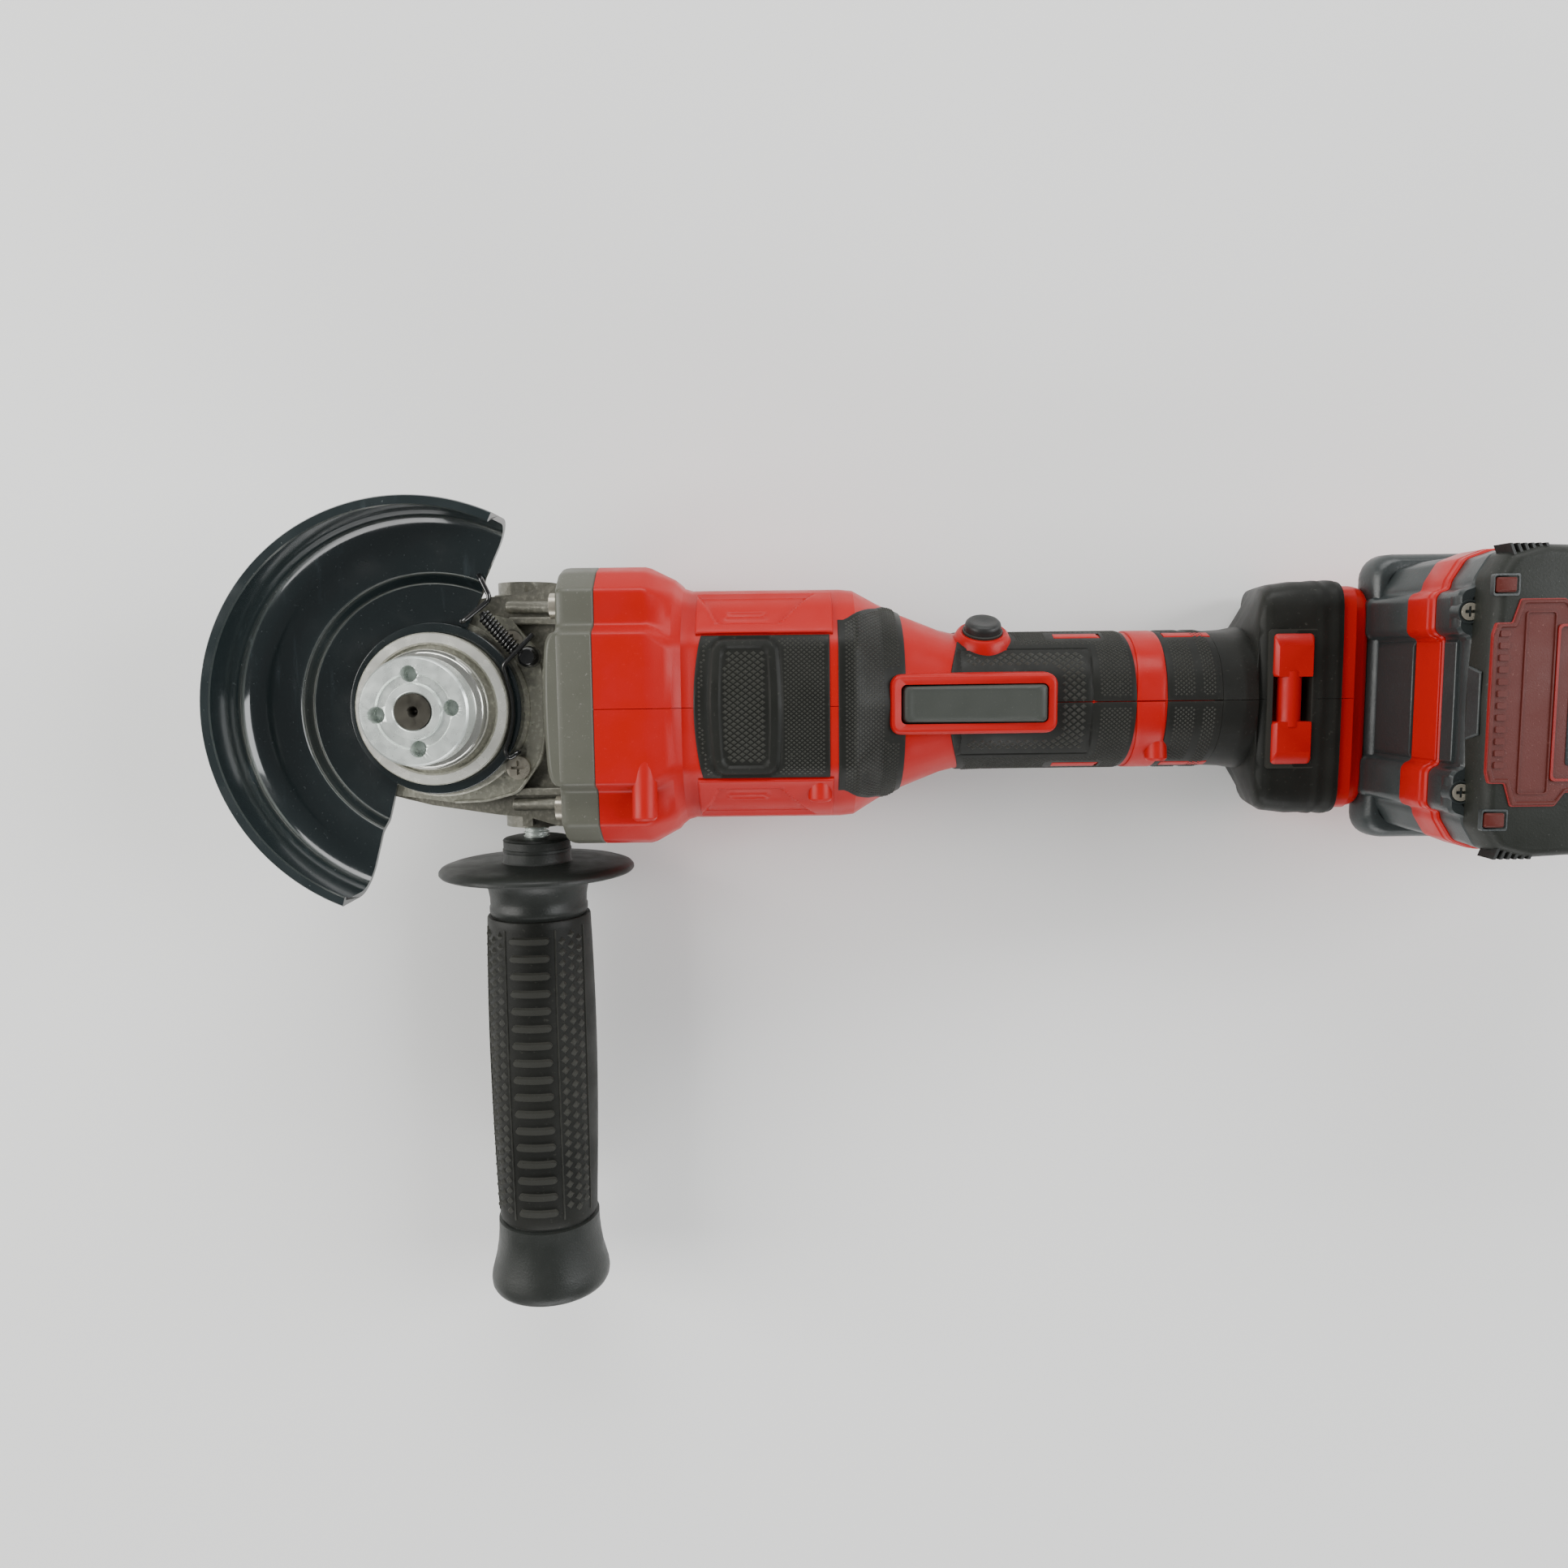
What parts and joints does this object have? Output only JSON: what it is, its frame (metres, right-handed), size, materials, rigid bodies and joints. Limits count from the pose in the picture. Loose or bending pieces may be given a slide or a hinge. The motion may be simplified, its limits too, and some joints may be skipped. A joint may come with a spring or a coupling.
{
  "type": "angle grinder",
  "caption": "Cordless angle grinder: wheel guard, pin-hole clamping nut, side handle, in-line grip with trigger and slide-on battery pack.",
  "frame": {"origin": "where the spindle axis meets the flat resting face of the gear housing; the tool lies on its back", "axes": "+Z along the spindle towards the clamping nut, +X from the gear head along the motor axis to the battery, side handle towards -Y"},
  "size_m": [0.4505, 0.2471, 0.1069],
  "materials": {
    "gunmetal": "satin cast housing",
    "cover_metal": "dark cast with machined rim",
    "screw_steel": "black oxide",
    "steel": "machined",
    "zinc": "zinc plated",
    "chrome_steel": "polished",
    "bronze": "sintered",
    "guard_black": "gloss black paint",
    "wire_black": "black spring steel",
    "black_plastic": "moulded",
    "red_plastic": "moulded, fine grain",
    "grey_plastic": "moulded, sparkle grain",
    "rubber": "diamond texture",
    "copper": "enamelled copper winding",
    "lamination": "stacked lamination",
    "board_green": "circuit board",
    "lead_red": "insulated wire",
    "trigger_grey": "moulded",
    "pack_grey": "moulded",
    "label_red": "moulded panel",
    "cell_wrap": "shrink wrap"
  },
  "bodies": {
    "body": {"gear_housing": "gunmetal", "gear_cover": "cover_metal", "gear_cover_screws": "screw_steel", "gear_housing_screws": "screw_steel", "front_bearing": "steel", "spindle_bearing": "steel", "spindle_bush": "bronze", "latch_spring": "wire_black", "latch_pivot": "wire_black", "spindle_lock_spring": "steel", "motor_flange": "grey_plastic", "air_baffle": "black_plastic", "rear_bearing": "steel", "stator_core": "lamination", "stator_coils": "copper", "sensor_board": "board_green", "housing_left": "red_plastic", "housing_right": "red_plastic", "motor_pads": "rubber", "grip_left": "rubber", "grip_right": "rubber", "foot_boot": "rubber", "housing_screws": "screw_steel", "trigger_spring": "steel", "switch_body": "black_plastic", "lock_button_spring": "steel", "control_board": "board_green", "leads": "lead_red", "tool_terminals": "black_plastic", "tether_bar": "red_plastic"},
    "spindle": {"spindle": "steel", "crown_gear": "steel", "inner_flange": "chrome_steel", "clamp_nut": "zinc"},
    "rotor": {"motor_shaft": "steel", "rotor": "lamination", "pinion": "steel", "fan": "black_plastic"},
    "guard": {"guard": "guard_black", "guard_band": "guard_black", "guard_wire": "wire_black"},
    "guard_latch": {"latch_wire": "wire_black"},
    "spindle_lock": {"spindle_lock_button": "black_plastic"},
    "trigger": {"trigger": "trigger_grey"},
    "lock_button": {"lock_button": "black_plastic"},
    "battery": {"battery_rail_shell": "black_plastic", "battery_band": "red_plastic", "battery_base_shell": "pack_grey", "battery_label_plate": "label_red", "battery_screws": "screw_steel", "battery_cells": "cell_wrap", "battery_board": "board_green", "battery_terminals": "bronze", "battery_release_spring": "steel"},
    "battery_release": {"battery_release_button": "red_plastic"},
    "side_handle": {"handle_stud": "zinc", "handle_core": "black_plastic", "handle_sleeve": "rubber"}
  },
  "joints": [
    {"name": "rotor_spin", "type": "hinge", "parent": "body", "child": "rotor", "pos_m": [0, 0, 0.038], "axis": [1, 0, 0], "continuous": true},
    {"name": "spindle_spin", "type": "hinge", "parent": "body", "child": "spindle", "pos_m": [0, 0, 0], "axis": [0, 0, 1], "continuous": true},
    {"name": "guard_swivel", "type": "hinge", "parent": "body", "child": "guard", "pos_m": [0, 0, 0], "axis": [0, 0, 1], "range_deg": [-8, 10]},
    {"name": "guard_latch_swing", "type": "hinge", "parent": "body", "child": "guard_latch", "pos_m": [0.0242, -0.0128, 0], "axis": [0, 0, -1], "range_deg": [0, 6], "stiffness_Nm_per_rad": 0.03, "springref_deg": -5.73},
    {"name": "spindle_lock_press", "type": "slide", "parent": "body", "child": "spindle_lock", "axis": [0, 0, 1], "range_m": [0, 0.0044], "stiffness_N_per_m": 600, "springref_m": -0.002, "deforming": ["spindle_lock_spring"]},
    {"name": "trigger_press", "type": "slide", "parent": "body", "child": "trigger", "axis": [0, 0, -1], "range_m": [0, 0.004], "stiffness_N_per_m": 900, "springref_m": -0.003, "deforming": ["trigger_spring"]},
    {"name": "lock_button_press", "type": "slide", "parent": "body", "child": "lock_button", "axis": [0, -0.8829, -0.4695], "range_m": [0, 0.003], "stiffness_N_per_m": 500, "springref_m": -0.002},
    {"name": "battery_slide", "type": "slide", "parent": "body", "child": "battery", "axis": [1, 0, 0], "range_m": [0, 0.085]},
    {"name": "battery_release_press", "type": "slide", "parent": "battery", "child": "battery_release", "axis": [-1, 0, 0], "range_m": [0, 0.0025], "stiffness_N_per_m": 600, "springref_m": -0.002},
    {"name": "side_handle_unscrew", "type": "slide", "parent": "body", "child": "side_handle", "axis": [0, -1, 0], "range_m": [0, 0.03]}
  ],
  "couplings": [
    {"joint": "spindle_spin", "follows": "rotor_spin", "ratio": -0.27778}
  ]
}
